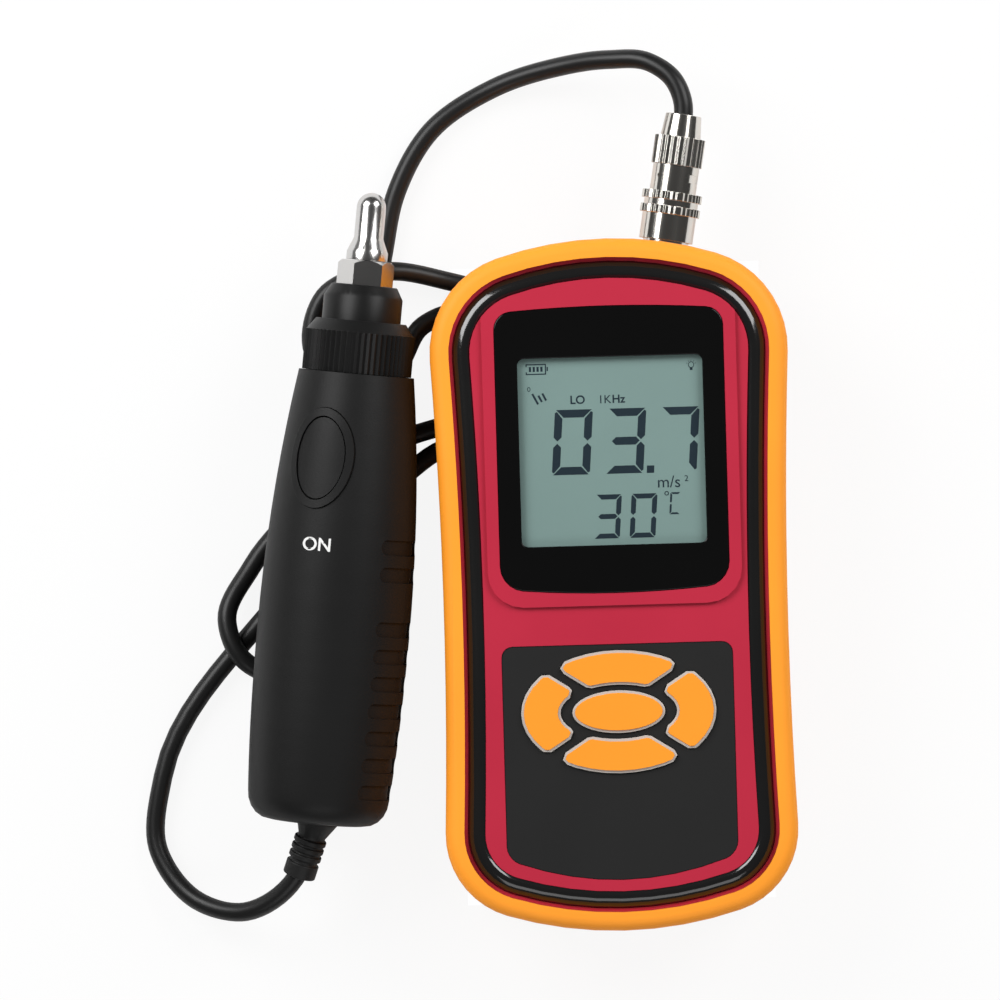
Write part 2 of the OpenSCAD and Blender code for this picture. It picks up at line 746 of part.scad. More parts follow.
module keypad_panel() color(charcoal) {
    difference() {
        prism(panel_points(0), panel_top - panel_t, panel_top);
        translate([0, key_y, panel_top - panel_t - cut]) linear_extrude(panel_t + 2 * cut) {
            key_ring_shape(key_slot);
            polygon(ellipse(centre_key_w + 2 * key_slot, centre_key_l + 2 * key_slot));
        }
    }
}

// Places of the five keys' domes and switches, as shares of the ring's half width and height
dome_shares = [[0, 0], [0, 0.7], [0, -0.7], [0.76, 0], [-0.76, 0]];
function dome_at(s) = [s[0] * key_ring_w / 2, key_y + s[1] * key_ring_l / 2];
module key_mat() color(charcoal) {
    translate([0, key_y, 0])
        prism(ellipse(key_ring_w + 3 * key_hole_margin, key_ring_l + 3 * key_hole_margin),
            mat_top - mat_t, mat_top);
    for (s = dome_shares) translate(dome_at(s)) disc(dome_d, mat_top, mat_top + dome_h);
}
module key_switches() color(steel) {
    for (s = dome_shares) translate([dome_at(s)[0], dome_at(s)[1], 0]) {
        body_top = board_top + switch_w / 2;
        translate([-switch_w / 2, -switch_w / 2, board_top]) cube([switch_w, switch_w, switch_w / 2]);
        disc(switch_w / 2, body_top, mat_top - mat_t - slack);
    }
}

module panel_socket() color(nickel) at_socket() {
    difference() {
        union() {
            disc(flange_d, socket_wall, socket_wall + flange_t);
            disc(neck_d, socket_wall, neck_end);
            disc(thread_d, socket_wall - 4 * shell_t, socket_wall);
        }
        disc(insert_d + 2 * fit, socket_wall - 4 * shell_t - cut, neck_end + cut);
    }
}
module socket_insert() color(charcoal) at_socket() {
    disc(insert_d, socket_wall - 4 * shell_t, insert_face);
    for (a = [45:90:315]) rotate(a) translate([insert_d / 4, 0, 0])
        disc(insert_d / 8, socket_wall - 6 * shell_t, socket_wall - 4 * shell_t);
}
module socket_nut() color(nickel) at_socket() {
    nut_high = socket_wall - shell_t - 2 * slack;
    difference() {
        hexagon(flange_d, nut_high - shell_t, nut_high);
        disc(thread_d + 2 * fit, nut_high - shell_t - cut, nut_high + cut);
    }
}

module release_sleeve() color(nickel) at_socket() {
    rim_2 = sleeve_end - rim_wide;
    rim_1 = rim_2 - rim_space - rim_wide;
    difference() {
        union() {
            disc(sleeve_d, sleeve_start, sleeve_end);
            for (z = [rim_1, rim_2]) prism(flutes(sleeve_rim_d, 36, sleeve_rim_d / 50), z, z + rim_wide);
        }
        disc(barrel_d + 2 * fit, sleeve_start - cut, sleeve_end + cut);
    }
}
module plug_body() color(nickel) at_socket() {
    difference() {
        tube(barrel_d, insert_d + 2 * fit, neck_end + 2 * fit, nut_start - fit);
        rotate(230) translate([barrel_d / 2 - flat_deep, -barrel_d / 2, nut_start - 2 * rim_wide])
            cube([barrel_d, barrel_d, rim_wide]);
        rotate(135) translate([barrel_d / 2 - flat_deep, 0, nut_start - 3 * rim_wide / 2]) rotate([0, 90, 0])
            cylinder(d = rim_wide / 2, h = barrel_d, $fn = circle_steps);
    }
}
module plug_insert() color(charcoal) at_socket() {
    disc(insert_d - 2 * fit, insert_face + slack, nut_start - fit);
}
module clamp_nut() color(nickel) at_socket() {
    difference() {
        prism(flutes(clamp_d, 24, clamp_d / 30), nut_start, nut_end);
        disc(cable_d + 2 * fit, nut_start - cut, nut_end + cut);
    }
}
module cable_cone() color(nickel) at_socket() {
    difference() {
        translate([0, 0, nut_end]) cylinder(d1 = cone_d[0], d2 = cone_d[1], h = cone_end - nut_end,
            $fn = circle_steps);
        disc(cable_d + 2 * fit, nut_end - cut, cone_end + cut);
    }
}

module signal_cable() color(black) {
    n = cable_sides;
    last = len(lead_path) - 1;
    points = [for (i = [0:last]) each lead_ring(lead_path[i], lead_heads[i])];
    walls = [for (i = [0:last - 1]) for (k = [0:n - 1]) let (m = (k + 1) % n)
        [i * n + k, (i + 1) * n + k, (i + 1) * n + m, i * n + m]];
    polyhedron(points, concat([[for (k = [0:n - 1]) k]], walls,
        [[for (k = [n - 1:-1:0]) last * n + k]]), convexity = 10);
}
module strain_relief() color(charcoal) translate(tail_at) aim(relief_turn_a, relief_climb_a) {
    bell = relief_len / 4;
    collar_l = relief_len / 4;
    rib_pitch = (relief_len - bell - collar_l) / (relief_ribs + 1 / 2);
    difference() {
        union() {
            translate([0, 0, -handle_wall / 2])
                cylinder(d1 = relief_bell_d, d2 = relief_neck_d, h = bell + handle_wall / 2,
                    $fn = circle_steps);
            disc(relief_neck_d, bell, relief_len);
            for (i = [1:relief_ribs])
                disc(relief_rib_d, bell + i * rib_pitch - relief_rib_t, bell + i * rib_pitch);
            disc(relief_rib_d, relief_len - collar_l, relief_len);
        }
        disc(cable_d + 2 * fit, relief_len - cable_grip - cut, relief_len + cut);
    }
}

// Probe's handle: radius and distance from the tip, [radius, -distance]
function bow(a, b, c, t) = (1 - t) * (1 - t) * a + 2 * t * (1 - t) * b + t * t * c;
function handle_points(inset) =
    let (neck = [handle_neck_d / 2, 0], girth = handle_d / 2, tail = tail_d / 2,
        full = [girth, girth_share * handle_len], tail_turn = [tail, tail_at_share * handle_len],
        end_l = handle_len - tail_turn[1])
    [for (p = concat(
        [for (i = [0:profile_steps - 1]) bow(neck, [girth, girth_lead_share * handle_len], full,
            i / profile_steps)],
        [for (i = [0:profile_steps - 1]) bow(full, [girth, tail_lead_share * handle_len], tail_turn,
            i / profile_steps)],
        [for (a = [0:18:90]) [tail - tail_r * (1 - cos(a)), tail_turn[1] + end_l * sin(a)]]))
        [p[0] - inset, -handle_at - p[1]]];
module handle_solid(inset) {
    edge = handle_points(inset);
    low = -handle_end + max(inset, 0);
    rotate_extrude($fn = circle_steps)
        polygon(concat([[0, -handle_at - (inset > 0 ? inset : 0)]],
            [for (p = edge) [p[0], max(p[1], low) - (inset > 0 && p[1] == -handle_at ? inset : 0)]],
            [[0, low]]));
}
module handle_grooves() {
    mirror([0, 1, 0]) for (i = [0:groove_count - 1]) {
        share = groove_first_share + i * (groove_last_share - groove_first_share) / (groove_count - 1);
        floor_r = handle_radius(share) - groove_deep;
        translate([0, 0, -handle_at - share * handle_len]) {
            rotate(groove_from_a) rotate_extrude(angle = 180 - 2 * groove_from_a, $fn = circle_steps)
                translate([floor_r, -groove_w / 2]) square([handle_wall, groove_w]);
            for (a = [groove_from_a, 180 - groove_from_a]) rotate(a)
                translate([floor_r, 0, 0]) rotate([0, 90, 0])
                    cylinder(d = groove_w, h = handle_wall, $fn = circle_steps);
        }
    }
}
// Radius of the handle at a share of its length, between the neighbouring points of its profile
function handle_radius(share) =
    let (edge = handle_points(0), z = -handle_at - share * handle_len,
        i = max([for (k = [0:len(edge) - 2]) if (edge[k][1] >= z) k]),
        t = (edge[i][1] - z) / (edge[i][1] - edge[i + 1][1]))
    edge[i][0] + t * (edge[i + 1][0] - edge[i][0]);

module to_button() {
    translate([0, 0, -handle_at - button_at]) rotate([0, -90, 0]) children();
}
handle_boss_d = 5;
handle_screw_d = 2;
handle_screw_head_d = 4;
handle_screw_y = 10;
handle_screw_shares = [0.32, 0.82];
handle_head_x = 9.5;
probe_board_t = 1.2;
probe_board_w = 14;
probe_board_x = 3.8;
probe_board_shares = [0.05, 0.75];
rib_shares = [0.12, 0.68];
board_rib_t = 1.6;
button_foot = 11;
button_flange = 1;
switch_stem_d = 3.5;
neck_at = ring_at + shoulder_t + collar_flange_t + 3 * fit;

module handle_screw_places() {
    for (share = handle_screw_shares) for (y = [-1, 1])
        translate([0, y * handle_screw_y, -handle_at - share * handle_len]) rotate([0, 90, 0]) children();
}
module handle_shell() {
    difference() {
        union() {
            difference() {
                union() {
                    handle_solid(0);
                    disc(neck_thread_d, -handle_at - cut, -neck_at);
                }
                handle_solid(handle_wall);
                disc(neck_thread_d - 2 * handle_wall, -handle_at - handle_wall - cut, cut - neck_at);
            }
            intersection() {
                handle_solid(handle_wall / 2);
                handle_screw_places() cylinder(d = handle_boss_d, h = handle_d, center = true,
                    $fn = circle_steps);
            }
        }
        handle_grooves();
    }
}

// Hole in the tail that holds the foot of the strain relief
module relief_hole() {
    translate(tail_at) aim(relief_turn_a, relief_climb_a)
        disc(relief_bell_d + 2 * fit, -2 * handle_wall, handle_wall);
}

module probe_front_half() color(black) difference() {
    at_probe() difference() {
        handle_shell();
        translate([0, -handle_d, -handle_end - cut])
            cube([handle_d, 2 * handle_d, handle_len + ring_len + 2 * cut]);
        to_button() prism(ellipse(button_l + 2 * slack, button_w + 2 * slack), 0, handle_d);
        difference() {
            to_button() prism(ellipse(button_ring_l + 2 * fit, button_ring_w + 2 * fit), 0, handle_d);
            handle_solid(ring_proud + fit);
        }
        handle_screw_places()
            cylinder(d = handle_screw_d, h = handle_d / 2, center = true, $fn = circle_steps);
    }
    relief_hole();
}
module probe_rear_half() color(black) difference() {
    at_probe() difference() {
        union() {
            handle_shell();
            intersection() {
                handle_solid(handle_wall / 2);
                for (share = rib_shares) translate([-probe_board_x + fit, -handle_screw_y / 2,
                    -handle_at - share * handle_len]) cube([handle_d, handle_screw_y, board_rib_t]);
            }
        }
        difference() {
            translate([-handle_d, -handle_d, -handle_end - cut])
                cube([handle_d, 2 * handle_d, handle_len + ring_len + 2 * cut]);
            for (share = rib_shares) translate([-probe_board_x, -handle_screw_y / 2,
                -handle_at - share * handle_len]) cube([handle_d, handle_screw_y, board_rib_t]);
        }
        handle_screw_places() cylinder(d = handle_screw_d + 2 * fit, h = handle_d, $fn = circle_steps);
        handle_screw_places() translate([0, 0, handle_head_x - fit])
            cylinder(d = handle_screw_head_d + 2 * slack, h = handle_d, $fn = circle_steps);
    }
    relief_hole();
}
module probe_screws() color(nickel) at_probe() handle_screw_places() {
    difference() {
        union() {
            translate([0, 0, -handle_head_x / 2])
                cylinder(d = handle_screw_d - 2 * fit, h = 3 * handle_head_x / 2, $fn = circle_steps);
            translate([0, 0, handle_head_x]) cylinder(d = handle_screw_head_d, h = handle_screw_d * 0.9,
                $fn = circle_steps);
        }
        translate([0, 0, handle_head_x + handle_screw_d]) for (a = [0, 90]) rotate(a)
            cube([handle_screw_d, handle_screw_d / 4, handle_screw_d], center = true);
    }
}

module nose_collar() color(black) at_probe() {
    flange_at = ring_at + shoulder_t + fit;
    difference() {
        union() {
            translate([0, 0, -collar_at - collar_chamfer])
                cylinder(d1 = collar_d[1], d2 = collar_d[0], h = collar_chamfer, $fn = circle_steps);
            disc(collar_d[1], -flange_at - fit, -collar_at - collar_chamfer);
            disc(collar_flange_d, -flange_at - collar_flange_t, -flange_at);
        }
        disc(shank_d + 2 * fit, -collar_at - collar_wall - cut, -collar_at + cut);
        disc(stack_d + 2 * fit, -flange_at - collar_flange_t - cut, -collar_at - collar_wall);
    }
}
module knurled_ring() color(black) at_probe() {
    difference() {
        union() {
            translate([0, 0, -ring_at - ring_chamfer])
                cylinder(d1 = ring_d - ring_d / 50, d2 = ring_d - 1.7 * ring_chamfer, h = ring_chamfer,
                    $fn = circle_steps);
            prism(flutes(ring_d, 60, ring_d / 60), -handle_at + fit, -ring_at - ring_chamfer);
        }
        disc(collar_d[1] + 2 * fit, -ring_at - shoulder_t - cut, -ring_at + cut);
        disc(neck_thread_d + 2 * fit, -handle_at - cut, -ring_at - shoulder_t);
    }
}
module sensor_base() color(steel) at_probe() {
    difference() {
        union() {
            intersection() {
                hexagon(hex_af, -collar_at, -hex_at - fit);
                translate([0, 0, -collar_at])
                    cylinder(d1 = hex_af + 2 * nose_len, d2 = hex_af - fit, h = nose_len, $fn = circle_steps);
            }
            disc(shank_d, -collar_at - shank_l, -collar_at);
        }
        disc(stud_d + 2 * fit, -hex_at - stud_len - slack, -hex_at + cut);
    }
}
module probe_tip() color(steel) at_probe() {
    r = tip_d / 2;
    foot_r = 0.7 * tip_d;
    straight = 0.67 * tip_len;
    flare = 0.88 * tip_len;
    rotate_extrude($fn = circle_steps)
        polygon(concat([for (a = [0:15:90]) [r * sin(a), -r * (1 - cos(a))]],
            [[r, -straight], [foot_r, -flare], [foot_r, -tip_len], [stud_d / 2, -tip_len],
             [stud_d / 2, -tip_len - stud_len], [0, -tip_len - stud_len]]));
}
module sensor_stack() color(steel) at_probe() {
    top = collar_at + shank_l + fit;
    disc(stack_d - 2 * fit, -top - stack_neck, -top);
    disc(stack_d, -top - stack_l, -top - stack_neck);
}

module probe_board() color(board_green) at_probe() {
    from = handle_at + probe_board_shares[0] * handle_len;
    to = handle_at + probe_board_shares[1] * handle_len;
    translate([-probe_board_x - probe_board_t, -probe_board_w / 2, -to])
        cube([probe_board_t, probe_board_w, to - from]);
    chip = probe_board_w / 2;
    translate([-probe_board_x - probe_board_t - probe_board_t, -chip / 2, -to + chip])
        cube([probe_board_t, chip, 2 * chip]);
}
module probe_switch() color(steel) at_probe() to_button() {
    seat = probe_board_x + probe_board_t;
    prism([for (p = [[-1, -1], [1, -1], [1, 1], [-1, 1]]) p * switch_w / 2], seat, seat + switch_w / 2);
    disc(switch_stem_d, seat + switch_w / 2, button_foot - button_travel - fit);
}
module button_ring() color(black) at_probe() {
    difference() {
        intersection() {
            handle_solid(-ring_proud);
            to_button() prism(ellipse(button_ring_l, button_ring_w), handle_d / 4, handle_d);
        }
        to_button() prism(ellipse(button_l + 2 * slack, button_w + 2 * slack), 0, handle_d + cut);
        handle_solid(ring_proud);
    }
}
module probe_button() color(charcoal) at_probe() {
    intersection() {
        handle_solid(-button_proud);
        to_button() prism(ellipse(button_l, button_w), button_foot, handle_d);
    }
    intersection() {
        handle_solid(handle_wall + slack);
        to_button() prism(ellipse(button_l + 2 * button_flange, button_w + 2 * button_flange),
            button_foot, button_foot + handle_wall);
    }
}

rubber_boot();
rear_shell();
front_shell();
trim_band();
housing_screws();
battery_door();
battery();
battery_snap();
main_board();
display_window();
lcd_panel();
lcd_frame();
backlight();
keypad_panel();
key_mat();
key_switches();
key_top();
key_left();
key_centre();
key_right();
key_bottom();
panel_socket();
socket_insert();
socket_nut();
release_sleeve();
plug_body();
plug_insert();
clamp_nut();
cable_cone();
signal_cable();
strain_relief();
probe_front_half();
probe_rear_half();
probe_screws();
nose_collar();
knurled_ring();
sensor_base();
probe_tip();
sensor_stack();
probe_board();
probe_switch();
button_ring();
probe_button();
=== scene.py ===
# %% [markdown]
# A handheld vibration meter lies on its back in an orange rubber boot, with its probe beside it on a
# black lead. The solids come from the CAD model, which sets every size and joint. This script could
# model the whole object again, but it would drift from those sizes, so it dresses the CAD solids:
# it rounds their edges, gives them finishes, and adds the display, the prints and the smooth lead.

# %% Load the frame
import bpy, bmesh, json, math
from mathutils import Matrix, Vector

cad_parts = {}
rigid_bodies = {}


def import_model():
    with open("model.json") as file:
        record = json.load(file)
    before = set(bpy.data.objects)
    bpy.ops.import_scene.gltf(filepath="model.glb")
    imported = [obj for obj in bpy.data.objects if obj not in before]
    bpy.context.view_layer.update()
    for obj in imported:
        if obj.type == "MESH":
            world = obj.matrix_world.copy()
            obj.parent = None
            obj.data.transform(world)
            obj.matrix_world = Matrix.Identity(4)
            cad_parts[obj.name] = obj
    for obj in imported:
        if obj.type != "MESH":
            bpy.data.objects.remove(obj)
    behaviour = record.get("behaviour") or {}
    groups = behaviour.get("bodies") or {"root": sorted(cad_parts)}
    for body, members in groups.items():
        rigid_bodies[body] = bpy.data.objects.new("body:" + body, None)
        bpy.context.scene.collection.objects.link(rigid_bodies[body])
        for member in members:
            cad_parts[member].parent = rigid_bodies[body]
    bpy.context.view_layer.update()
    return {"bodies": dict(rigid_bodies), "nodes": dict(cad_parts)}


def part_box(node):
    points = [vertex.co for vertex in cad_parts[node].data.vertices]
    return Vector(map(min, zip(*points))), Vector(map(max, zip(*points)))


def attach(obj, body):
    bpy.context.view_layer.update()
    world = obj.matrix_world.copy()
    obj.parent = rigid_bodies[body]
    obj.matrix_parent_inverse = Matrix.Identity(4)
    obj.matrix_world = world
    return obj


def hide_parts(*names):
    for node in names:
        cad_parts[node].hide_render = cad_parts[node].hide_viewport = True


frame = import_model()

# %% [markdown]
# The photograph was taken from straight above with a long lens, with the meter leaning a little to
# the left. The width of the frame follows from the photograph's scale at the height of the probe.

# %% Camera
MM = 0.001
frame_width, frame_x, frame_y, frame_z = 224.2 * MM, -25.13 * MM, 19.54 * MM, 22 * MM
lean_degrees = -1.6
lens, sensor, clip_far = 300, 36, 20
camera_data = bpy.data.cameras.new("view_from_above")
camera_data.lens, camera_data.sensor_width, camera_data.clip_end = lens, sensor, clip_far
camera = bpy.data.objects.new("view_from_above", camera_data)
bpy.context.scene.collection.objects.link(camera)
camera.location = (frame_x, frame_y, frame_width * lens / sensor + frame_z)
camera.rotation_euler = (0, 0, math.radians(lean_degrees))
bpy.context.scene.camera = camera
print("camera height", round(camera.location.z, 3))

# %% [markdown]
# Finishes come next, because the lead is made first and needs one. Every real surface here is a
# moulded, plated, turned or printed one. Each could be a flat colour, but moulded rubber and
# plastic have a fine grain and metal has tool marks, so one helper builds a Principled shader with
# a slight change of tone and a fine bump, both from noise in object coordinates.

# %% Helper for finishes
polish_change, coat_rough = 0.04, 0.08
relief_depth = 0.05 * MM

def add_grain(material, shader, place, grain, grain_size, stretch):
    # Fine relief of the mould or the tool, drawn out along one axis by stretch
    nodes, links = material.node_tree.nodes, material.node_tree.links
    size = nodes.new("ShaderNodeMapping")
    size.inputs["Scale"].default_value = stretch
    links.new(place.outputs["Object"], size.inputs["Vector"])
    texture = nodes.new("ShaderNodeTexNoise")
    texture.inputs["Scale"].default_value = 1 / grain_size
    texture.inputs["Detail"].default_value = 2
    links.new(size.outputs["Vector"], texture.inputs["Vector"])
    relief = nodes.new("ShaderNodeBump")
    relief.inputs["Strength"].default_value = grain
    relief.inputs["Distance"].default_value = relief_depth
    links.new(texture.outputs["Fac"], relief.inputs["Height"])
    links.new(relief.outputs["Normal"], shader.inputs["Normal"])

def finish(name, colour, rough, metal=0.0, grain=0.0, grain_size=0.0004, tone=0.06, tone_size=0.03,
           coat=0.0, shine=0.5, stretch=(1, 1, 1)):
    material = bpy.data.materials.new(name)
    material.use_nodes = True
    nodes, links = material.node_tree.nodes, material.node_tree.links
    shader = nodes["Principled BSDF"]
    shader.inputs["Metallic"].default_value = metal
    shader.inputs["Specular IOR Level"].default_value = shine
    shader.inputs["Coat Weight"].default_value = coat
    shader.inputs["Coat Roughness"].default_value = coat_rough
    place = nodes.new("ShaderNodeTexCoord")
    # Slow change of tone over the surface
    drift = nodes.new("ShaderNodeTexNoise")
    drift.inputs["Scale"].default_value = 1 / tone_size
    drift.inputs["Detail"].default_value = 4
    links.new(place.outputs["Object"], drift.inputs["Vector"])
    shade = nodes.new("ShaderNodeValToRGB")
    dark, light = shade.color_ramp.elements
    dark.position, light.position = 0.3, 0.7
    dark.color = [c * (1 - tone) for c in colour] + [1]
    light.color = [min(1, c * (1 + tone)) for c in colour] + [1]
    links.new(drift.outputs["Fac"], shade.inputs["Fac"])
    links.new(shade.outputs["Color"], shader.inputs["Base Color"])
    polish = nodes.new("ShaderNodeMapRange")
    polish.inputs["To Min"].default_value = max(0, rough - polish_change)
    polish.inputs["To Max"].default_value = min(1, rough + polish_change)
    links.new(drift.outputs["Fac"], polish.inputs["Value"])
    links.new(polish.outputs["Result"], shader.inputs["Roughness"])
    if grain:
        add_grain(material, shader, place, grain, grain_size, stretch)
    return material
print("relief", relief_depth, "m deep")

# %% [markdown]
# The case and the boot are moulded: soft rubber, crimson plastic, a glossy band and window, and a
# matt key panel. One plastic in several colours would be simpler, but gloss is what tells them
# apart in the photograph, so each has a roughness and a shine of its own. Grain sizes are metres.

# %% Finishes of the meter
boot_rubber = finish("boot_rubber", (0.97, 0.33, 0.022), rough=0.55, shine=0.25, tone=0.03,
                     grain=0.25, grain_size=0.0005)
crimson = finish("crimson_plastic", (0.46, 0.016, 0.044), rough=0.4, shine=0.35, tone=0.04,
                 grain=0.12, grain_size=0.0006)
gloss_black = finish("band_black", (0.008, 0.008, 0.008), rough=0.14, coat=0.5)
window_black = finish("window_black", (0.003, 0.003, 0.003), rough=0.12, coat=0.1, shine=0.3)
lcd_ground = finish("lcd_ground", (0.17, 0.26, 0.243), rough=0.45, tone=0.05, tone_size=0.05)
lcd_ink = finish("lcd_ink", (0.012, 0.024, 0.034), rough=0.5, shine=0.2)
panel_matt = finish("panel_charcoal", (0.011, 0.011, 0.011), rough=0.55, shine=0.3,
                    grain=0.15, grain_size=0.0003)
key_orange = finish("key_orange", (0.90, 0.31, 0.022), rough=0.42, shine=0.25, tone=0.02,
                    grain=0.1, grain_size=0.0004)
key_edge = finish("key_edge", (0.52, 0.49, 0.46), rough=0.5, shine=0.25, tone=0.02)
print(len(bpy.data.materials), "materials")

# %% [markdown]
# The connector is nickel-plated brass, the nose is turned steel, and the probe and the lead are
# black. Black parts could share one finish, but the handle is grained, the ring is anodised and the
# lead is smooth, so each gets its own. Inside are boards, light guide and battery in usual colours.

# %% Finishes of the connector, the probe and the inside
nickel = finish("nickel_plate", (0.70, 0.675, 0.63), rough=0.14, metal=1, grain=0.04, stretch=(1, 8, 1))
steel = finish("turned_steel", (0.60, 0.59, 0.58), rough=0.2, metal=1,
               grain=0.12, grain_size=0.0003, stretch=(0.3, 6, 0.3))
probe_plastic = finish("probe_plastic", (0.009, 0.009, 0.009), rough=0.48, shine=0.2,
                       grain=0.5, grain_size=0.00035)
anodised = finish("anodised_black", (0.007, 0.007, 0.007), rough=0.38, shine=0.2,
                  grain=0.2, grain_size=0.0003)
jacket = finish("cable_jacket", (0.008, 0.008, 0.008), rough=0.4, shine=0.35,
                grain=0.2, grain_size=0.0006)
dark_rubber = finish("dark_rubber", (0.008, 0.008, 0.008), rough=0.5, shine=0.35,
                     grain=0.3, grain_size=0.0004)
white_print = finish("white_print", (0.75, 0.75, 0.74), rough=0.5)
insulator = finish("insulator", (0.02, 0.02, 0.02), rough=0.45)
diffuser = finish("diffuser", (0.8, 0.8, 0.76), rough=0.5)
board_mask = finish("board_mask", (0.02, 0.12, 0.045), rough=0.35, tone=0.15, tone_size=0.004)
tin = finish("switch_metal", (0.5, 0.5, 0.48), rough=0.3, metal=1)
battery_sleeve = finish("battery_sleeve", (0.07, 0.075, 0.085), rough=0.35)
print(len(bpy.data.materials), "materials")

# %% [markdown]
# The lead is one cable, seen from end to end, 0.637 m long: out of the plug's cone, over in an arch,
# under the nose, back in a tight turn, round twice behind the boot's raised corner and out to the
# probe's tail. A mesh tube would show its sections, so it will be a curve with a round bevel. Its
# points are the route of the CAD solid, with the ends worked out from the plug's
# and the probe's places.

# %% Lead's route
cable_d, lead_length = 4.3 * MM, 0.637
route_mm = [
    (18.4, 107.4, 20.8), (16.4, 112.8, 20), (11, 117, 17.8), (2, 118, 13.6),
    (-9, 117, 8), (-24, 112.8, 2.8), (-38.4, 103.6, 2.2), (-46.6, 90, 2.2),
    (-50.2, 75, 2.2), (-56, 45, 2.2), (-64.4, 26.4, 2.2), (-81.6, 6.2, 3.2),
    (-87.6, -5.8, 6), (-84.4, -14.6, 6.8), (-77, -18.6, 5), (-68.8, -16.4, 2.4),
    (-63.2, -9.2, 2.2), (-56.6, 14, 2.2), (-41, 29.8, 2.2), (-21.8, 38.4, 2.2),
    (-18, 54.4, 2.2), (-25.4, 65.4, 2.2), (-37, 69.8, 2.8), (-50.4, 71.8, 6.8),
    (-63.6, 66.6, 7), (-66.4, 54.2, 7), (-61.2, 47.8, 7), (-53.8, 46.8, 7),
    (-48, 49.8, 6), (-41.6, 59.4, 3.6), (-35.4, 62, 2.4), (-27.2, 59.8, 2.2),
    (-23.6, 53.4, 2.2), (-25, 45.6, 2.2), (-31, 39.6, 2.2), (-48, 33.2, 2.2),
    (-72, 3, 2.2), (-103.2, -41, 2.2), (-104.8, -57, 2.6), (-97, -68.4, 6.4),
    (-85, -71.6, 12.4)]

def aimed(turn, climb):
    turn, climb = math.radians(turn), math.radians(climb)
    return Vector((math.cos(turn) * math.cos(climb), math.sin(turn) * math.cos(climb), math.sin(climb)))

socket_dir, probe_dir, relief_dir = aimed(80.25, 0), aimed(83.24, 1.3), aimed(-109.7, -12)
socket_root, cone_reach = Vector((0, -2.8, 20.85)) * MM, 106.1 * MM
probe_tip_at, probe_l, relief_l = Vector((-51.7, 89.1, 24)) * MM, 141.6 * MM, 10 * MM
cable_from = socket_root + cone_reach * socket_dir
cable_to = probe_tip_at - probe_l * probe_dir + relief_l * relief_dir
lead_points = [cable_from] + [Vector(p) * MM for p in route_mm] + [cable_to]
print(len(lead_points), "points of the lead")

# %% [markdown]
# The curve has to pass through those points as smoothly as the CAD solid does. Automatic handles
# would bulge between points of uneven spacing, so each handle lies along a tangent that weighs the
# two runs beside its point, and reaches a third of the run.

# %% Lead
round_detail, run_steps = 4, 10

def lead_tangents(points):
    runs = [(b - a).length for a, b in zip(points, points[1:])]
    inner = [((points[i] - points[i - 1]) * runs[i] / runs[i - 1]
              + (points[i + 1] - points[i]) * runs[i - 1] / runs[i]) / (runs[i] + runs[i - 1])
             for i in range(1, len(points) - 1)]
    return runs, [socket_dir] + inner + [-relief_dir]

runs, tangents = lead_tangents(lead_points)
curve = bpy.data.curves.new("lead_cable", "CURVE")
curve.dimensions, curve.bevel_depth, curve.bevel_resolution = "3D", cable_d / 2, round_detail
curve.resolution_u, curve.use_fill_caps = run_steps, True
spline = curve.splines.new("BEZIER")
spline.bezier_points.add(len(lead_points) - 1)
for i, (knot, at, along) in enumerate(zip(spline.bezier_points, lead_points, tangents)):
    knot.handle_left_type = knot.handle_right_type = "FREE"
    knot.co = at
    knot.handle_left = at - along * runs[max(0, i - 1)] / 3
    knot.handle_right = at + along * runs[min(i, len(runs) - 1)] / 3
cable = bpy.data.objects.new("lead_cable", curve)
bpy.context.scene.collection.objects.link(cable)
cable.data.materials.append(jacket)
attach(cable, "lead")
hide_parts("signal_cable")
print("lead length", lead_length, "straight runs", round(sum(runs), 3))

# %% [markdown]
# The moulded pieces leave their moulds with rounded edges that catch the light. Their CAD solids
# have sharp ones. They could be modelled again with rounded edges, but a copy of each solid keeps
# its size: these helpers merge the copy's loose triangles, join those that lie flat, and mark the
# corners, so that round walls look round and corners stay crisp.

# %% Helpers for copies of CAD solids
merge_reach, flat_degrees = 0.001 * MM, 0.4
plain_corner, fluted_corner, soft_corner = 35, 20, 40

def take_shape(node):
    shape = bmesh.new()
    shape.from_mesh(frame["nodes"][node].data)
    bmesh.ops.remove_doubles(shape, verts=shape.verts, dist=merge_reach)
    bmesh.ops.dissolve_limit(shape, angle_limit=math.radians(flat_degrees),
                             verts=shape.verts, edges=shape.edges)
    return shape

def settle(shape, name, materials, corner=30):
    # Smooth shading, with a hard line wherever two faces meet at more than the corner angle
    for face in shape.faces:
        face.smooth = True
    for edge in shape.edges:
        edge.smooth = len(edge.link_faces) == 2 and edge.calc_face_angle(0) < math.radians(corner)
    mesh = bpy.data.meshes.new(name)
    shape.to_mesh(mesh)
    shape.free()
    if "custom_normal" in mesh.attributes:
        mesh.attributes.remove(mesh.attributes["custom_normal"])
    for material in materials:
        mesh.materials.append(material)
    piece = bpy.data.objects.new(name, mesh)
    bpy.context.scene.collection.objects.link(piece)
    return piece
print("corners at", plain_corner, fluted_corner, soft_corner, "degrees")

# %% [markdown]
# The last helpers round the edges with a Bevel modifier, and let the copy stand for its CAD solid
# and ride on the same body. A bevel in the mesh would do as well, but a
# modifier leaves the merged copy easy to look at. Some pieces have a second finish low down.

# %% Helpers for rounded edges and for the frame
edge_steps = 3
body_of = {node: body for node, solid in frame["nodes"].items()
           for body, empty in frame["bodies"].items() if solid.parent == empty}

def soften(piece, width, corner=30):
    bevel = piece.modifiers.new("edges", "BEVEL")
    bevel.width, bevel.segments = width, edge_steps
    bevel.limit_method, bevel.angle_limit = "ANGLE", math.radians(corner)
    bevel.harden_normals = True

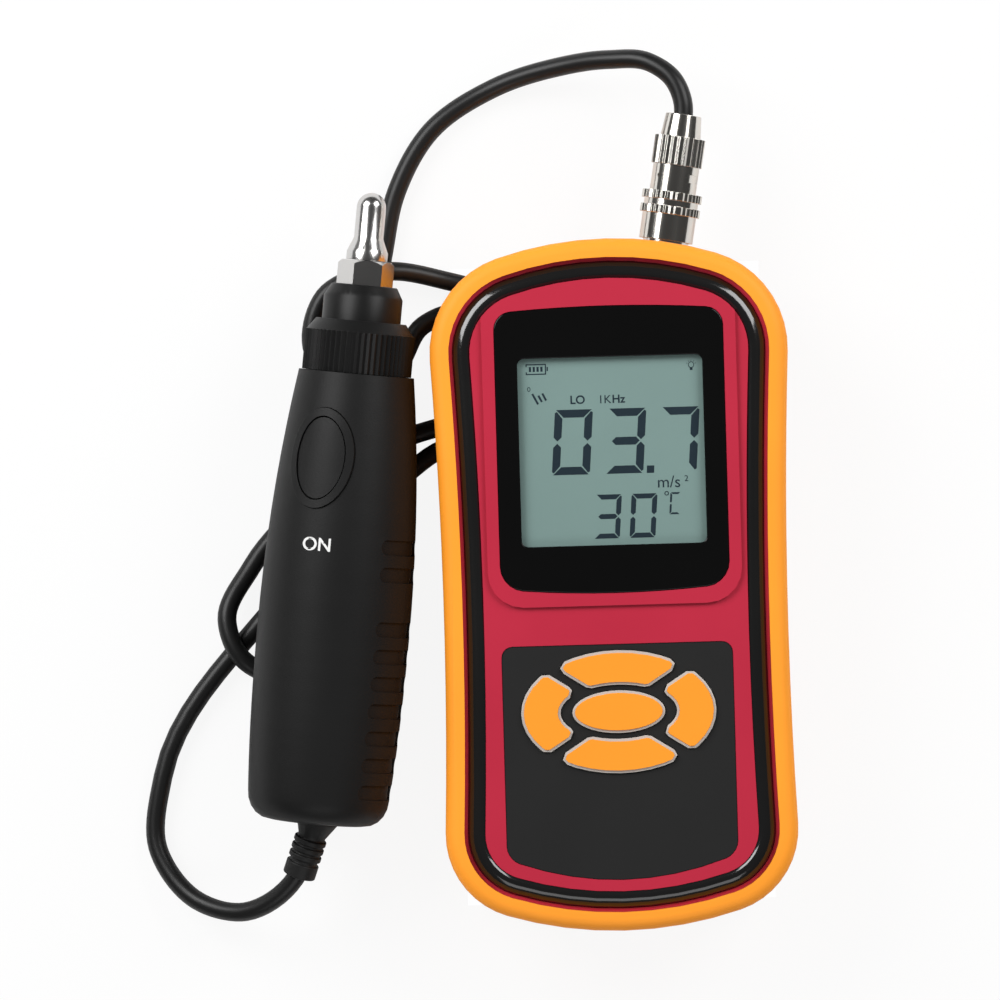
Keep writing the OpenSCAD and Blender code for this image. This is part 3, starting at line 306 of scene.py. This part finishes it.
def stand_for(piece, node):
    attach(piece, body_of[node])
    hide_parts(node)

def dressed(node, name, material, width=0.0, corner=plain_corner, low_material=None, low_z=0.0):
    # Faces below low_z take the low material, where one is given
    shape = take_shape(node)
    for face in shape.faces:
        face.material_index = int(low_material is not None and face.calc_center_median().z < low_z)
    materials = [material, low_material] if low_material else [material]
    piece = settle(shape, name, materials, corner)
    if width:
        soften(piece, width, corner)
    stand_for(piece, node)
    return piece

# %% [markdown]
# The orange boot is one soft moulding that grips the case, with a raised rim round the face. The
# crimson case shows inside that rim and in the boot's openings, and a glossy band runs round the
# face. Their CAD solids already have the rim, the steps and the openings, so they are only dressed.

# %% Boot and case
face_edge, back_edge = 0.35 * MM, 0.3 * MM
for piece in (dressed("rubber_boot", "orange_boot", boot_rubber, corner=soft_corner),
              dressed("front_shell", "crimson_face", crimson, face_edge),
              dressed("rear_shell", "crimson_back", crimson, back_edge),
              dressed("battery_door", "battery_hatch", crimson, back_edge),
              dressed("trim_band", "gloss_band", gloss_black, corner=soft_corner)):
    print(piece.name, len(piece.data.polygons), "faces")

# %% [markdown]
# The keys stand up through slots in a matt panel. Each is orange rubber on a pale foot, and the foot
# shows as a line round the key. Two pieces could show that, but the moulding has a step there, so
# all faces below the step of the CAD solid take the pale finish.

# %% Keypad
panel_edge, key_round, crown_depth = 0.2 * MM, 0.3 * MM, 0.45 * MM
dressed("keypad_panel", "keypad_plate", panel_matt, panel_edge)
for side in ("top", "left", "centre", "right", "bottom"):
    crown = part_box("key_" + side)[1][2]
    key = dressed("key_" + side, "orange_key_" + side, key_orange, key_round,
                  low_material=key_edge, low_z=crown - crown_depth)
    print(key.name, "crown at", round(crown / MM, 2), "mm")

# %% [markdown]
# The connector is turned and plated brass: a socket in the case, a sleeve with two toothed rims,
# a plain barrel, a fluted clamp nut and a cone. Teeth and flutes meet at flatter angles than other
# corners, so these pieces have a corner angle of their own. They could be turned with the spin
# operator, but the teeth and the flat are in the CAD solids.

# %% Connector
for node, name, material, edge_mm, corner in (
        ("panel_socket", "socket_flange", nickel, 0.15, plain_corner),
        ("release_sleeve", "toothed_sleeve", nickel, 0.08, fluted_corner),
        ("plug_body", "plug_barrel", nickel, 0.1, plain_corner),
        ("clamp_nut", "fluted_nut", nickel, 0.08, fluted_corner),
        ("cable_cone", "lead_cone", nickel, 0.15, plain_corner),
        ("strain_relief", "ribbed_relief", dark_rubber, 0.3, plain_corner)):
    print(dressed(node, name, material, edge_mm * MM, corner).name, "dressed")

# %% [markdown]
# The probe is a handle of two moulded halves with grip grooves, an oval button, and a nose of a
# collar, a fluted ring, a steel hexagon and a round steel tip. Screws hold the halves and the case.
# A turned handle would lose the grooves and the parting line, so the CAD solids are dressed again.

# %% Probe and screws
for node, name, material, edge_mm, corner in (
        ("probe_front_half", "handle_front", probe_plastic, 0.12, plain_corner),
        ("probe_rear_half", "handle_back", probe_plastic, 0.12, plain_corner),
        ("nose_collar", "satin_collar", anodised, 0.2, plain_corner),
        ("knurled_ring", "fluted_ring", anodised, 0.08, fluted_corner),
        ("sensor_base", "hexagon_nose", steel, 0.15, plain_corner),
        ("probe_tip", "steel_tip", steel, 0.1, plain_corner),
        ("button_ring", "button_surround", probe_plastic, 0.3, plain_corner),
        ("probe_button", "thumb_button", probe_plastic, 0.4, plain_corner),
        ("housing_screws", "case_screws", tin, 0.1, plain_corner),
        ("probe_screws", "handle_screws", tin, 0.1, plain_corner)):
    print(dressed(node, name, material, edge_mm * MM, corner).name, "dressed")

# %% [markdown]
# Boards, battery, nuts and contacts are hidden inside the case and the probe. They could get rounded
# edges too, but nobody sees them unless the meter is opened, so they keep their CAD shape and only
# take a finish.

# %% Inner pieces
for node, material in (
        ("battery", battery_sleeve), ("battery_snap", insulator), ("main_board", board_mask),
        ("lcd_panel", lcd_ground), ("lcd_frame", insulator), ("backlight", diffuser),
        ("key_mat", dark_rubber), ("key_switches", tin), ("socket_insert", insulator),
        ("socket_nut", nickel), ("plug_insert", insulator), ("sensor_stack", steel),
        ("probe_board", board_mask), ("probe_switch", tin)):
    solid = frame["nodes"][node]
    if solid.material_slots:
        solid.material_slots[0].material = material
    else:
        solid.data.materials.append(material)
    print(node, "in", material.name)

# %% [markdown]
# White letters are printed on the handle under its button. Letters are a font curve first, and a
# mesh before they are placed, so that their place can go into the mesh.

# %% Helper for letters
def letters_mesh(text, name, size, thick, deep, material):
    letters = bpy.data.curves.new(name, "FONT")
    letters.body, letters.size, letters.offset, letters.extrude = text, size, thick, deep
    letters.align_x, letters.align_y = "CENTER", "CENTER"
    source = bpy.data.objects.new(name + "_letters", letters)
    bpy.context.scene.collection.objects.link(source)
    bpy.context.view_layer.update()
    mesh = bpy.data.meshes.new_from_object(source.evaluated_get(bpy.context.evaluated_depsgraph_get()))
    bpy.data.objects.remove(source)
    mesh.materials.clear()
    mesh.materials.append(material)
    piece = bpy.data.objects.new(name, mesh)
    bpy.context.scene.collection.objects.link(piece)
    return piece
print("letters in the built-in typeface")

# %% [markdown]
# A flat word would cut into the round handle, and a picture isn't needed for two letters. So each
# point of the word drops straight down on to the handle's surface and stays just proud of it, as a
# pad print lies on a curved moulding.

# %% Print on the handle
print_lift, print_deep, print_high, print_thick = 0.03 * MM, 0.01 * MM, 4.1 * MM, 0.06 * MM
print_place = Matrix.Translation((-66.1 * MM, 10.7 * MM, 0))
print_turn = Matrix.Rotation(math.radians(-6.76), 4, "Z")
drop_from = 100 * MM
handle = bpy.data.objects["handle_front"]
mark = letters_mesh("ON", "handle_print", print_high, print_thick, print_deep, white_print)
mark.data.transform(print_place @ print_turn)
for point in mark.data.vertices:
    spot, normal = handle.ray_cast((point.co.x, point.co.y, drop_from), (0, 0, -1))[1:3]
    point.co = spot + normal * (print_lift + point.co.z)
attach(mark, body_of["probe_front_half"])
print("mark at", [round(v / MM, 1) for v in mark.data.vertices[0].co])

# %% [markdown]
# The display's window is a clear pane with a black mask printed round its opening. One solid with
# two finishes could show that, but light has to reach the display as it does behind glass. So the
# mask is a copy of the CAD window with the opening cut out by a Boolean, and the cutter is a plate:
# an outline with four round corners, extruded.

# %% Window mask
view_w, view_l, view_r, view_at = 41.2 * MM, 41.9 * MM, 1.5 * MM, Vector((0.1, 29.8)) * MM
mask_edge, overrun, round_steps = 0.25 * MM, 5 * MM, 6

def plate(shape, spots, low, high):
    base = shape.faces.new([shape.verts.new((x, y, low)) for x, y in spots])
    risen = bmesh.ops.extrude_face_region(shape, geom=[base])
    upper = [part for part in risen["geom"] if isinstance(part, bmesh.types.BMVert)]
    bmesh.ops.translate(shape, vec=(0, 0, high - low), verts=upper)
    bmesh.ops.recalc_face_normals(shape, faces=shape.faces)

def rounded_plate(w, l, r, at, low, high):
    shape, spots = bmesh.new(), []
    for turn, side_x, side_y in ((0, 1, 1), (90, -1, 1), (180, -1, -1), (270, 1, -1)):
        for step in range(round_steps + 1):
            angle = math.radians(turn + 90 * step / round_steps)
            spots.append((at.x + side_x * (w / 2 - r) + r * math.cos(angle),
                          at.y + side_y * (l / 2 - r) + r * math.sin(angle)))
    plate(shape, spots, low, high)
    return shape

low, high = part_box("display_window")
mask = settle(take_shape("display_window"), "window_mask", [window_black], plain_corner)
cutter = settle(rounded_plate(view_w, view_l, view_r, view_at, low[2] - overrun, high[2] + overrun),
                "opening", [window_black])
opening = mask.modifiers.new("opening", "BOOLEAN")
opening.object, opening.operation, opening.solver = cutter, "DIFFERENCE", "EXACT"
bpy.context.view_layer.update()
cut_mesh = bpy.data.meshes.new_from_object(mask.evaluated_get(bpy.context.evaluated_depsgraph_get()))
mask.modifiers.clear()
mask.data = cut_mesh
bpy.data.objects.remove(cutter)
soften(mask, mask_edge)
stand_for(mask, "display_window")
print("window", [round(v / MM, 1) for v in low], [round(v / MM, 1) for v in high])

# %% [markdown]
# The pane is clear, with a faint mirror image on its outer side that grows towards low angles. Glass
# with real refraction would be noisy and slow, so a Transparent and a Glossy shader are mixed by
# Fresnel. Only the outer side mirrors, so that the display still shows from low down.

# %% Clear pane
pane_gap, pane_top, pane_thick = 0.01 * MM, 0.1 * MM, 0.5 * MM
clear = bpy.data.materials.new("clear_pane")
clear.use_nodes = True
nodes, links = clear.node_tree.nodes, clear.node_tree.links
nodes.remove(nodes["Principled BSDF"])
through, mirror = nodes.new("ShaderNodeBsdfTransparent"), nodes.new("ShaderNodeBsdfGlossy")
both, facing = nodes.new("ShaderNodeMixShader"), nodes.new("ShaderNodeFresnel")
side, outside, share = (nodes.new("ShaderNode" + kind) for kind in ("NewGeometry", "Math", "Math"))
mirror.inputs["Roughness"].default_value = 0.08
facing.inputs["IOR"].default_value = 1.3
outside.operation, share.operation = "SUBTRACT", "MULTIPLY"
outside.inputs[0].default_value = 1
links.new(side.outputs["Backfacing"], outside.inputs[1])
links.new(facing.outputs["Fac"], share.inputs[0])
links.new(outside.outputs["Value"], share.inputs[1])
links.new(share.outputs["Value"], both.inputs["Fac"])
links.new(through.outputs["BSDF"], both.inputs[1])
links.new(mirror.outputs["BSDF"], both.inputs[2])
links.new(both.outputs["Shader"], nodes["Material Output"].inputs["Surface"])
pane_high = high[2] - pane_top
pane = settle(rounded_plate(view_w - 2 * pane_gap, view_l - 2 * pane_gap, view_r, view_at,
                            pane_high - pane_thick, pane_high), "clear_pane", [clear])
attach(pane, "meter")
print("pane's outer side at", round(pane_high / MM, 2), "mm")

# %% [markdown]
# The display shows a reading: dark segments on grey-green glass. A picture could carry them, but
# real ones are thin shapes in the glass, so each segment is an outline of a few points, extruded to
# a thin plate. The digits lean to the right and have mitred corners with narrow gaps.

# %% Helpers for digits
ink_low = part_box("lcd_panel")[1][2]
ink_high = ink_low + 0.03 * MM
LIT = {"0": "abcdef", "3": "abcdg", "7": "abc", "C": "adef"}
digit_lean, nick_share = 0.075, 0.1

def ink_plate(shape, spots_mm):
    plate(shape, [(x * MM, y * MM) for x, y in spots_mm], ink_low, ink_high)

def ink_piece(shape, name):
    piece = settle(shape, name, [lcd_ink])
    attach(piece, "meter")
    return piece

def digit_plates(shape, digit, left, foot, size_mm):
    # The seven segments a to g, counted clockwise from the top, with g in the middle
    w, h, thick, gap = size_mm
    middle, half, inner = h / 2, thick / 2, thick + gap
    forms = {
        "a": [(gap, h), (w - gap, h), (w - inner, h - thick), (inner, h - thick)],
        "d": [(gap, 0), (w - gap, 0), (w - inner, thick), (inner, thick)],
        "f": [(0, h - gap - half / 2), (half / 2, h - gap - nick_share * thick), (thick, h - inner),
              (thick, middle + half + gap), (half, middle + gap), (0, middle + half + gap)],
        "g": [(half + gap, middle), (inner, middle + half), (w - inner, middle + half),
              (w - half - gap, middle), (w - inner, middle - half), (inner, middle - half)]}
    forms["b"] = [(w - x, y) for x, y in forms["f"]]
    forms["e"] = [(x, h - y) for x, y in forms["f"]]
    forms["c"] = [(w - x, h - y) for x, y in forms["f"]]
    for segment in LIT[digit]:
        ink_plate(shape, [(left + x + digit_lean * y, foot + y) for x, y in forms[segment]])
print("ink from", round(ink_low / MM, 2), "to", round(ink_high / MM, 2), "mm")

# %% [markdown]
# The reading is a large number with a decimal point, and a smaller one for the temperature. Each row
# could be a helper of its own, but only the size, the foot and the left edges differ, so loops place
# the digits. Widths, heights, strokes and gaps are in millimetres.

# %% Display digits
large, small, letter = (8.46, 14.5, 1.75, 0.25), (5.75, 9.8, 1.1, 0.18), (2.3, 4.9, 0.42, 0.12)
large_foot, small_foot, letter_foot = 24.7, 10.3, 15.3
decimal_point = ((7.72, 24.65), (9.36, 24.65), (9.44, 26.3), (7.8, 26.3))
digits = bmesh.new()
for digit, left in (("0", -13.42), ("3", -1.52), ("7", 10.35)):
    digit_plates(digits, digit, left, large_foot, large)
for digit, left in (("3", -4.44), ("0", 3.49)):
    digit_plates(digits, digit, left, small_foot, small)
digit_plates(digits, "C", 12.5, letter_foot, letter)
ink_plate(digits, decimal_point)
print("digits", len(ink_piece(digits, "display_digits").data.polygons), "faces")

# %% [markdown]
# Small signs stand round the digits: a battery with four bars, strokes that stand for a vibrating
# probe, and a lamp with rays. They are the usual signs of such a meter. A symbol font could hold
# them, but these are simple enough for straight strokes, which are plates too. A ring is a chain of
# short strokes, round or oval.

# %% Helpers for signs
ring_steps = 24

def stroke(shape, start, end, thick):
    start, end = Vector(start), Vector(end)
    side = (end - start).orthogonal().normalized() * thick / 2
    ink_plate(shape, [start - side, end - side, end + side, start + side])

def ring(shape, centre, w, l, thick):
    turns = [2 * math.pi * step / ring_steps for step in range(ring_steps + 1)]
    line = [(centre[0] + w / 2 * math.cos(turn), centre[1] + l / 2 * math.sin(turn)) for turn in turns]
    for start, end in zip(line, line[1:]):
        stroke(shape, start, end, thick)

print("rings of", ring_steps, "steps")

# %% [markdown]
# The places of the signs are read from the photograph, in millimetres on the display. Each sign is a
# list of strokes with one thickness, or a ring with its centre, width, length and thickness, so that
# two loops can draw them all.

# %% Display signs
battery_outline = (((-18.6, 49.45), (-14.1, 49.45)), ((-14.2, 49.5), (-14.2, 47.3)),
                   ((-14.1, 47.3), (-18.6, 47.3)), ((-18.5, 47.3), (-18.5, 47.8)),
                   ((-18.5, 49.45), (-18.5, 48.95)))
battery_nub = [((-13.95, 48.4), (-13.65, 48.4))]
battery_bars = [((x, 47.85), (x, 48.95)) for x in (-17.65, -16.8, -15.95, -15.1)]
probe_strokes = (((-17.3, 42.96), (-16.05, 40.59)), ((-15.95, 42.55), (-15.2, 41.1)),
                 ((-15.06, 43), (-14.25, 41.4)))
lamp_at, ray_from, ray_to = Vector((18.25, 48.5)), 0.85, 1.15
lamp_foot = [((18.25, 47.85), (18.25, 47.3))]
ways = [Vector((math.cos(math.radians(turn)), math.sin(math.radians(turn)))) for turn in range(20, 161, 35)]
lamp_rays = [(lamp_at + ray_from * way, lamp_at + ray_to * way) for way in ways]
signs = bmesh.new()
for strokes, thick in ((battery_outline, 0.25), (battery_nub, 0.9), (battery_bars, 0.5),
                       (probe_strokes, 0.45), (lamp_foot, 0.6), (lamp_rays, 0.12)):
    for start, end in strokes:
        stroke(signs, start, end, thick)
for centre, w, l, thick in (((-18.04, 43.97), 0.6, 0.9, 0.15), ((12.03, 20.0), 0.8, 0.8, 0.2),
                            (lamp_at, 1.2, 1.3, 0.16)):
    ring(signs, centre, w, l, thick)
print("signs", len(ink_piece(signs, "display_signs").data.polygons), "faces")

# %% [markdown]
# The range and the units stand on the display in small letters. They could be drawn with strokes as
# the signs are, but the plain built-in typeface comes close, so each word is a mesh of letters,
# moved until its lower left corner lies at its place in millimetres.

# %% Display letters
def words(text, name, x, y, size, thick=0.0):
    piece = letters_mesh(text, name, size * MM, thick * MM, (ink_high - ink_low) / 2, lcd_ink)
    low_x, low_y = (min(v.co[i] for v in piece.data.vertices) for i in (0, 1))
    piece.data.transform(Matrix.Translation((x * MM - low_x, y * MM - low_y, (ink_low + ink_high) / 2)))
    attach(piece, "meter")

for text, name, x, y, size, thick in (
        ("LO", "display_range", -8.83, 40.42, 2.6, 0.05),
        ("1K", "display_band", -2.2, 40.45, 2.6, 0),
        ("Hz", "display_band_unit", 0.55, 40.45, 2.55, 0.05),
        ("m/s", "display_unit", 10.15, 21.3, 3.7, 0),
        ("2", "display_unit_power", 16.1, 22.6, 1.9, 0)):
    words(text, name, x, y, size, thick)

# %% [markdown]
# The object lies on a plain pale floor. It shows as white to the camera and stays plain and pale for
# every reflection. It could be one whole sheet, but then the meter's back could not be seen: so it
# lies a hair below the boot, is open under the boot and is clear from below.

# %% Floor
boot_low, boot_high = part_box("rubber_boot")
floor_inset, floor_reach, floor_z = 5 * MM, 1.5, -0.2 * MM
floor_shape = bmesh.new()
bmesh.ops.create_grid(floor_shape, x_segments=1, y_segments=1, size=floor_reach,
                      matrix=Matrix.Translation((0, 0, floor_z)))
for axis, across in ((0, Vector((1, 0, 0))), (1, Vector((0, 1, 0)))):
    for at in (boot_low[axis] + floor_inset, boot_high[axis] - floor_inset):
        everything = floor_shape.verts[:] + floor_shape.edges[:] + floor_shape.faces[:]
        bmesh.ops.bisect_plane(floor_shape, geom=everything, plane_co=across * at, plane_no=across)
covered = [face for face in floor_shape.faces
           if all(boot_low[axis] < face.calc_center_median()[axis] < boot_high[axis] for axis in (0, 1))]
bmesh.ops.delete(floor_shape, geom=covered, context="FACES")
floor = settle(floor_shape, "floor", [])
print("floor", len(floor.data.polygons), "faces")

# %% [markdown]
# White paper would be the real backdrop. A plain white surface would show grey in the corners of the
# picture, so the floor glows for camera rays only and is matt for all others. The Geometry node's
# Backfacing output makes it clear from below.

# %% Floor's finish
floor_glow, floor_tone = 0.9, (0.8, 0.8, 0.8, 1)
white = bpy.data.materials.new("floor_white")
white.use_nodes = True
nodes, links = white.node_tree.nodes, white.node_tree.links
matt = nodes["Principled BSDF"]
matt.inputs["Base Color"].default_value = floor_tone
matt.inputs["Roughness"].default_value = 0.9
glow, both, path, share, side, below, through = (nodes.new("ShaderNode" + kind) for kind in (
    "Emission", "MixShader", "LightPath", "Math", "NewGeometry", "MixShader", "BsdfTransparent"))
share.operation = "MULTIPLY"
share.inputs[1].default_value = floor_glow
links.new(path.outputs["Is Camera Ray"], share.inputs[0])
links.new(share.outputs["Value"], both.inputs["Fac"])
links.new(matt.outputs["BSDF"], both.inputs[1])
links.new(glow.outputs["Emission"], both.inputs[2])
links.new(side.outputs["Backfacing"], below.inputs["Fac"])
links.new(both.outputs["Shader"], below.inputs[1])
links.new(through.outputs["BSDF"], below.inputs[2])
links.new(below.outputs["Shader"], nodes["Material Output"].inputs["Surface"])
floor.data.materials.append(white)
print("floor in", white.name)

# %% [markdown]
# A product photographer lights such a meter with two softboxes and a little fill: a strong one from
# the picture's upper left, a fainter one from its upper right and the fill from its lower edge. A
# bright room all round would be simpler, but plating and gloss need dark bands, so the room is white
# only to the camera, and darkest to glossy surfaces.

# %% Lamps and room
room_light, room_gloss = 0.3, 0.06
for name, at, size, power in (
        ("left_softbox", Vector((-0.55, 0.45, 0.6)), (0.5, 0.5), 6.6),
        ("right_softbox", Vector((0.55, 0.45, 0.6)), (0.4, 0.5), 4.6),
        ("low_fill", Vector((0, -0.7, 0.7)), (0.8, 0.4), 1.8)):
    data = bpy.data.lights.new(name, "AREA")
    data.shape, data.size, data.size_y, data.energy = "RECTANGLE", size[0], size[1], power
    light = bpy.data.objects.new(name, data)
    bpy.context.scene.collection.objects.link(light)
    light.location = at
    light.rotation_euler = (-at).to_track_quat("-Z", "Y").to_euler()
    print(name, power, "W")
world = bpy.data.worlds.new("studio")
world.use_nodes = True
nodes, links = world.node_tree.nodes, world.node_tree.links
nodes["Background"].inputs["Color"].default_value = (1, 1, 1, 1)
path, level, seen = (nodes.new("ShaderNode" + kind) for kind in ("LightPath", "MapRange", "Math"))
seen.operation = "MAXIMUM"
level.inputs["To Min"].default_value = room_light
level.inputs["To Max"].default_value = room_gloss
links.new(path.outputs["Is Glossy Ray"], level.inputs["Value"])
links.new(level.outputs["Result"], seen.inputs[0])
links.new(path.outputs["Is Camera Ray"], seen.inputs[1])
links.new(seen.outputs["Value"], nodes["Background"].inputs["Strength"])
bpy.context.scene.world = world
bpy.context.scene.view_settings.view_transform = "Standard"
